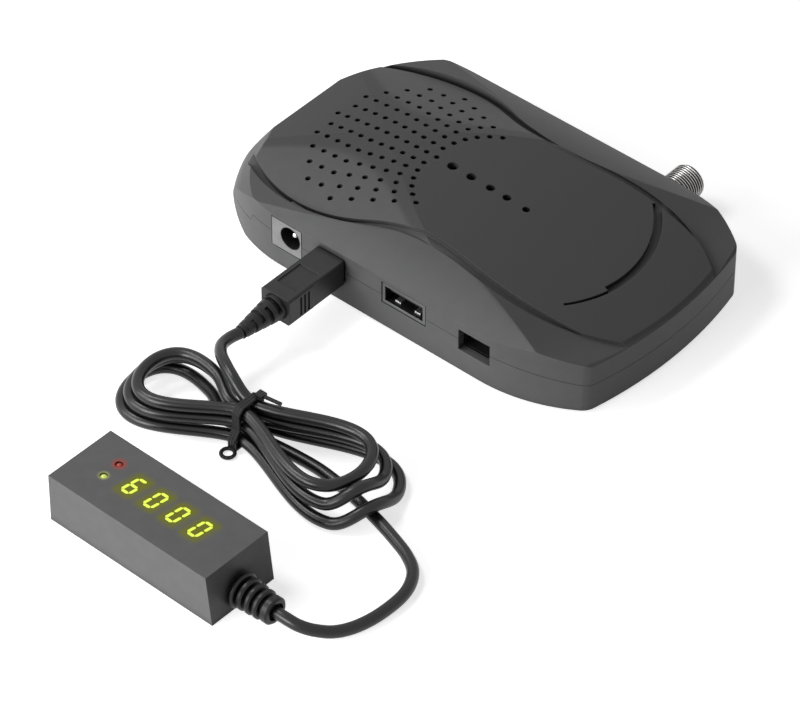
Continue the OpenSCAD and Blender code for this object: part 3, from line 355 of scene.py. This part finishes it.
def moulded(name, colour, rough, grain=9000, strength=0.25, depth=0.02, edge=0.25, vary=0.08, gloss=0.3,
            crevice_shade=0.35, ridge=0.0, tint=None):
    """Plastic or rubber: fine grain or ridges, slightly uneven colour and gloss, rounded edges, painted shade
    in crevices.
    """
    mat, tree, shader = new_material(name)
    dark, pale = [c * (1 - vary) for c in colour], [c * (1 + vary) for c in colour]
    surface = ramp(tree, noise(tree, PLASTIC_PATCHES, 3), PATCH_LO, PATCH_HI, dark, pale)
    if tint:
        surface = tint(tree, surface, shader)
    tree.links.new(painted_crevice_shade(tree, surface, PLASTIC_REACH * MM, crevice_shade), shader.inputs["Base Color"])
    fine = noise(tree, grain)
    uneven = spread(tree, fine, rough - PLASTIC_SPREAD, rough + PLASTIC_SPREAD)
    tree.links.new(uneven, shader.inputs["Roughness"])
    height = fine
    if ridge:  # lengthwise lines, a ridge apart across the piece
        across = axes(tree, (HANK_AT[0] * MM, 0, 0))[0]
        height = compute(tree, "COSINE", compute(tree, "MULTIPLY", across, 2 * math.pi / (ridge * MM)))
    tree.links.new(bumped(tree, height, strength, depth * MM, edge * MM), shader.inputs["Normal"])
    set_inputs(shader, Specular_IOR_Level=gloss)
    return mat


def metal(name, colour, rough, grain=2500, strength=0.12, depth=0.01, edge=0.12, crevice_shade=0.15, tint=None):
    """Metal with fine marks, a slightly uneven tone and painted shade in crevices."""
    mat, tree, shader = new_material(name)
    dark = [c * METAL_DARK for c in colour]
    surface = ramp(tree, noise(tree, grain / 4, 3), PATCH_LO, PATCH_HI, dark, colour)
    if tint:
        surface = tint(tree, surface, shader)
    tree.links.new(painted_crevice_shade(tree, surface, METAL_REACH * MM, crevice_shade), shader.inputs["Base Color"])
    fine = noise(tree, grain, 3)
    uneven = spread(tree, fine, max(METAL_LEAST_ROUGH, rough - METAL_SPREAD), rough + METAL_SPREAD)
    tree.links.new(uneven, shader.inputs["Roughness"])
    tree.links.new(bumped(tree, fine, strength, depth * MM, edge * MM), shader.inputs["Normal"])
    set_inputs(shader, Metallic=1.0)
    return mat


def board_material():
    """Green solder mask with traces and pads that show faintly through it."""
    mat, tree, shader = new_material("board")
    cells = tree.nodes.new("ShaderNodeTexBrick")
    set_inputs(cells, Scale=190.0, Mortar_Size=0.03, Color1=(0.012, 0.085, 0.035, 1),
               Color2=(0.016, 0.11, 0.045, 1), Mortar=(0.03, 0.19, 0.08, 1))
    tree.links.new(coordinates(tree), cells.inputs["Vector"])
    tree.links.new(cells.outputs["Color"], shader.inputs["Base Color"])
    tree.links.new(bumped(tree, cells.outputs["Fac"], 0.2, 0.02 * MM, 0), shader.inputs["Normal"])
    tree.links.new(spread(tree, noise(tree, 1500), 0.3, 0.42), shader.inputs["Roughness"])
    return mat


def lamp_material(name, colour, glow, strength):
    """A lit lens: coloured plastic that shines by itself."""
    mat, tree, shader = new_material(name)
    surface = ramp(tree, noise(tree, 1800, 1), 0.3, 0.7, [c * LENS_DARK for c in colour], colour)
    tree.links.new(surface, shader.inputs["Base Color"])
    set_inputs(shader, Roughness=0.35, Emission_Color=(*glow, 1), Emission_Strength=strength)
    return mat


SLOTS = {
    "cover_plastic": moulded("cover_plastic", (0.089, 0.089, 0.090), 0.46, strength=0.35, vary=0.03,
                             gloss=0.2, crevice_shade=0.12, tint=raised_plate),
    "rubber": moulded("rubber", (0.016, 0.016, 0.016), 0.75, grain=6000),
    "screw_steel": metal("screw_steel", (0.45, 0.45, 0.47), 0.35),
    "board": board_material(),
    "chip_plastic": moulded("chip_plastic", (0.016, 0.016, 0.017), 0.5, grain=12000, edge=0.08),
    "black_aluminium": metal("black_aluminium", (0.05, 0.05, 0.052), 0.4),
    "tin_plate": metal("tin_plate", (0.5, 0.5, 0.51), 0.3),
    "capacitor_sleeve": moulded("capacitor_sleeve", (0.02, 0.035, 0.09), 0.3, strength=0.1),
    "ferrite": moulded("ferrite", (0.04, 0.04, 0.042), 0.6, strength=0.5),
    "jack_grey": moulded("jack_grey", (0.22, 0.22, 0.22), 0.5, edge=0.15, tint=painted_bore_shade),
    "bright_pin": metal("bright_pin", (0.8, 0.8, 0.8), 0.18),
    "socket_plastic": moulded("socket_plastic", (0.014, 0.014, 0.014), 0.45, edge=0.1),
    "white_plastic": moulded("white_plastic", (0.6, 0.6, 0.58), 0.45, edge=0.1),
    "gold_contact": metal("gold_contact", (0.75, 0.56, 0.24), 0.25, edge=0.05),
    "thread_nickel": metal("thread_nickel", (0.5, 0.49, 0.48), 0.2, edge=0.05, tint=painted_thread_shade),
    "plug_plastic": moulded("plug_plastic", (0.022, 0.022, 0.023), 0.42, strength=0.3, crevice_shade=0.15),
    "cord_jacket": moulded("cord_jacket", (0.007, 0.007, 0.0075), 0.31, grain=5000, strength=0.12, edge=0,
                           gloss=0.42, crevice_shade=0.2),
    "tie_plastic": moulded("tie_plastic", (0.016, 0.016, 0.016), 0.45, strength=1.0, depth=0.12, edge=0,
                           crevice_shade=0.2, ridge=0.8),
    "display_plastic": moulded("display_plastic", (0.118, 0.118, 0.120), 0.42, strength=0.3, edge=0.2,
                               vary=0.04, gloss=0.2, tint=figure_glow),
    "digit_light": lamp_material("digit_light", (0.5, 0.62, 0.05), (0.66, 0.78, 0.09), 0.75),
    "red_lens": lamp_material("red_lens", (0.30, 0.03, 0.02), (0.6, 0.06, 0.04), 0.18),
    "green_lens": lamp_material("green_lens", (0.40, 0.48, 0.12), (0.55, 0.62, 0.16), 0.6),
}
RELIEF = moulded("relief_plastic", (0.009, 0.009, 0.0095), 0.36, strength=0.2, crevice_shade=0.1)
OWN_MATERIALS = {  # nodes whose finish in the photograph differs from the rest of their slot
    # the socket's steel carries painted highlights on its two springs
    "usb_shell": metal("socket_steel", (0.14, 0.14, 0.143), 0.34, tint=painted_spring_highlights),
    "usb_insulator": moulded("socket_black", (0.014, 0.014, 0.014), 0.45, edge=0.1),
    "plug_strain_relief": RELIEF,
    "display_strain_relief": RELIEF,
}

slot_of = {part["node"]: part["material_slot"] for part in frame["record"]["subparts"]}
for name, obj in nodes.items():
    obj.data.materials.clear()
    obj.data.materials.append(OWN_MATERIALS.get(name) or SLOTS[slot_of[name]])


# ---------- cord ----------
def spline(points, n):
    """Catmull-Rom points along a route, n for each stretch between two of its points."""
    p = [Vector(q) for q in points]
    out = []
    for i in range(len(p) - 1):
        a, b, c, d = p[max(i - 1, 0)], p[i], p[i + 1], p[min(i + 2, len(p) - 1)]
        for k in range(n):
            t = k / n
            out.append(0.5 * (2 * b + (c - a) * t + (2 * a - 5 * b + 4 * c - d) * t ** 2
                              + (3 * b - a - 3 * c + d) * t ** 3))
    return out + [p[-1]]


def ease(x):
    t = min(1.0, max(0.0, x))
    return t * t * (3 - 2 * t)


def hump(x, mid, half):
    return cosd(90 * (x - mid) / half) ** 2 if abs(x - mid) < half else 0.0


def lobe_point(k, rightward, f):
    """A point of loop k, f degrees round its right or left lobe, which starts and ends at the waist."""
    lobe = RIGHT_LOBE if rightward else LEFT_LOBE
    going_out = not rightward and f >= 180
    waist = cosd(f / 2)  # 1 and -1 at the waist, 0 at the tip
    power = SLOT_OUT_POWER[k] if going_out else SLOT_POWER
    slot = (SLOT_OUT if going_out else SLOT_IN)[k] * math.copysign(abs(waist) ** power, waist)
    u = (lobe["length"] + lobe["longer"] * k) * (1 - cosd(f)) / 2
    v = slot + FULLNESS * (lobe["half"] + lobe["wider"] * k) * sind(f) * (1 - cosd(f)) / 2
    z = CORD_D / 2 + LAYER * (2 - k) + HANK_LIFT * waist * waist
    if rightward and k > 0:
        z += LAYER * hump(f, OVER_AT, OVER_HALF)
    if not rightward:
        v += ASIDE * hump(f, ASIDE_AT, ASIDE_HALF)
    if not rightward and k < 2:
        z -= LAYER * ease((f - DROP_FROM) / DROP_RUN)
    along, across = cosd(lobe["turn"]), sind(lobe["turn"])
    return Vector((HANK_AT[0] + u * along - v * across, HANK_AT[1] + u * across + v * along, z))


def even(t):
    """Degrees round a lobe for a share of its points, so that they lie about evenly."""
    return 360 * t + EVEN_BY * sind(360 * t)


def hank_route(n):
    """Points down the three loops, n for each lobe."""
    points = [lobe_point(k, rightward, even(i / n))
              for k in range(3) for rightward in (True, False) for i in range(n)]
    return points + [lobe_point(2, False, 360)]


LOBE_POINTS, STRETCH_POINTS = 96, 8
hank = hank_route(LOBE_POINTS)[1:-1]  # its ends are points of the other two stretches
to_display, to_plug = (spline(points, STRETCH_POINTS) for points in (DISPLAY_ROUTE, PLUG_ROUTE))
route = [p * MM for p in to_display[::-1] + hank[::-1] + to_plug[::-1]]  # from the display to the plug
curve = bpy.data.curves.new("cord", "CURVE")
curve.dimensions = "3D"
curve.bevel_depth = CORD_D / 2 * MM
curve.bevel_resolution = 5
curve.use_fill_caps = True
line = curve.splines.new("POLY")
line.points.add(len(route) - 1)
for point, p in zip(line.points, route):
    point.co = (*p, 1)
line.use_smooth = True
curve.materials.append(SLOTS["cord_jacket"])
cord = add_object("cord", curve)
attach(cord, "display_lead")
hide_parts("cord_plug_side", "cord_hank", "cord_display_side")

# ---------- antenna connector ----------
SIDES = 72
THREAD_PITCH, RINGS_PER_TURN = 0.794, 8
THREAD_START, THREAD_END = 0.15, 0.1  # plain lengths between the collar, the thread and the mouth
RUN_IN, RUN_OUT = 0.5, 0.7  # lengths over which the thread fades in and out
FLANK_SLOPE, ROOT_FLAT = 1.5, 0.25  # the larger they are, the steeper the flank and the wider the root
MOUTH_CHAMFER = 0.15


def ring(y, radius):
    """Points round the connector's axis; radius is a number, or a function of the share of a turn."""
    points = []
    for k in range(SIDES):
        r = radius(k / SIDES) if callable(radius) else radius
        points.append(mm(LNB_X + r * cosd(360 * k / SIDES), y, LNB_Z + r * sind(360 * k / SIDES)))
    return points


def thread_radius(y, start, end):
    """Radius of the thread at y: even flanks, flat crests, and both ends fading into the root."""
    fade = min(1.0, (y - start) / RUN_IN) * min(1.0, (end - y) / RUN_OUT)

    def at_turn(turn):
        phase = (y / THREAD_PITCH - turn) % 1.0
        crest = min(1.0, max(0.0, FLANK_SLOPE * (1 - abs(2 * phase - 1)) - ROOT_FLAT))
        return LNB_R - THREAD_DEPTH * (1 - crest * fade)
    return at_turn


def threaded_barrel():
    """Skin of the connector: collar, thread, mouth, bore, the contact's bore, and back to the collar."""
    root_r = LNB_R - THREAD_DEPTH
    shoulder, mouth = WALL_Y + COLLAR_OUT, WALL_Y + COLLAR_OUT + LNB_L
    start, end = shoulder + THREAD_START, mouth - THREAD_END
    steps = int((end - start) / THREAD_PITCH * RINGS_PER_TURN)
    heights = [start + (end - start) * i / steps for i in range(steps + 1)]
    rings = [ring(CAN_Y, COLLAR_R), ring(shoulder, COLLAR_R), ring(shoulder, root_r)]
    rings += [ring(y, thread_radius(y, start, end)) for y in heights]
    rings += [ring(mouth, root_r - MOUTH_CHAMFER), ring(mouth, BARREL_BORE_R),
              ring(CAN_Y + BARREL_FLOOR, BARREL_BORE_R), ring(CAN_Y + BARREL_FLOOR, CONTACT_BORE_R),
              ring(CAN_Y, CONTACT_BORE_R)]
    n = len(rings)
    faces = [(i * SIDES + k, i * SIDES + (k + 1) % SIDES,
              (i + 1) % n * SIDES + (k + 1) % SIDES, (i + 1) % n * SIDES + k)
             for i in range(n) for k in range(SIDES)]
    mesh = bpy.data.meshes.new("antenna_thread")
    mesh.from_pydata([tuple(p) for points in rings for p in points], [], faces)
    mesh.validate()
    mesh.update()
    for face in mesh.polygons:
        face.use_smooth = True
    return mesh


barrel = threaded_barrel()
barrel.materials.append(SLOTS["thread_nickel"])
thread = add_object("antenna_thread", barrel)
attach(thread, "receiver")
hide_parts("lnb_connector")

# ---------- stage ----------
AMBIENT = 0.06
FLOOR_SIZE, FLOOR_TONE, FLOOR_GLOW = 6, (0.86, 0.86, 0.86, 1), 0.72
WHITE = (1, 1, 1, 1)


def seen_rays(tree):
    """1 where the backdrop is looked at, straight, in a reflection or through something."""
    paths = tree.nodes.new("ShaderNodeLightPath").outputs
    glossy = compute(tree, "MAXIMUM", paths["Is Camera Ray"], paths["Is Glossy Ray"])
    return compute(tree, "MAXIMUM", glossy, paths["Is Transmission Ray"])


def white_world():
    """A backdrop that is white to look at and lights the part only faintly."""
    world = bpy.data.worlds.new("world")
    world.use_nodes = True
    tree = world.node_tree
    level = tree.nodes.new("ShaderNodeMapRange")
    set_inputs(level, To_Min=AMBIENT, To_Max=1.0)
    tree.links.new(seen_rays(tree), level.inputs["Value"])
    sky = tree.nodes["Background"]
    set_inputs(sky, Color=WHITE)
    tree.links.new(level.outputs["Result"], sky.inputs["Strength"])
    return world


def floor_material():
    """White that takes shadows and glows where it is seen, so that it runs into the backdrop."""
    mat, tree, shader = new_material("floor")
    set_inputs(shader, Base_Color=FLOOR_TONE, Roughness=0.9, Specular_IOR_Level=0.1, Emission_Color=WHITE)
    glow = compute(tree, "MULTIPLY", seen_rays(tree), FLOOR_GLOW)
    tree.links.new(glow, shader.inputs["Emission Strength"])
    return mat


def area_light(name, place, aim, size, power):
    light = add_object(name, bpy.data.lights.new(name, "AREA"))
    light.data.shape = "SQUARE"
    light.data.size = size
    light.data.energy = power
    light.location = place
    light.rotation_euler = (Vector(aim) - Vector(place)).to_track_quat("-Z", "Y").to_euler()


scene.world = white_world()
bpy.ops.mesh.primitive_plane_add(size=FLOOR_SIZE)
floor = bpy.context.object
floor.name = "floor"
floor.data.materials.append(floor_material())

area_light("key", place=(-0.75, -0.95, 0.55), aim=(0, -0.04, 0), size=0.7, power=7.4)
area_light("front", place=(-0.12, -1.1, 0.35), aim=(0, -0.04, 0), size=0.5, power=8.4)
area_light("top", place=(-0.25, -0.16, 0.45), aim=(-0.06, -0.08, 0), size=0.16, power=0.9)

scene.view_settings.view_transform = "Standard"
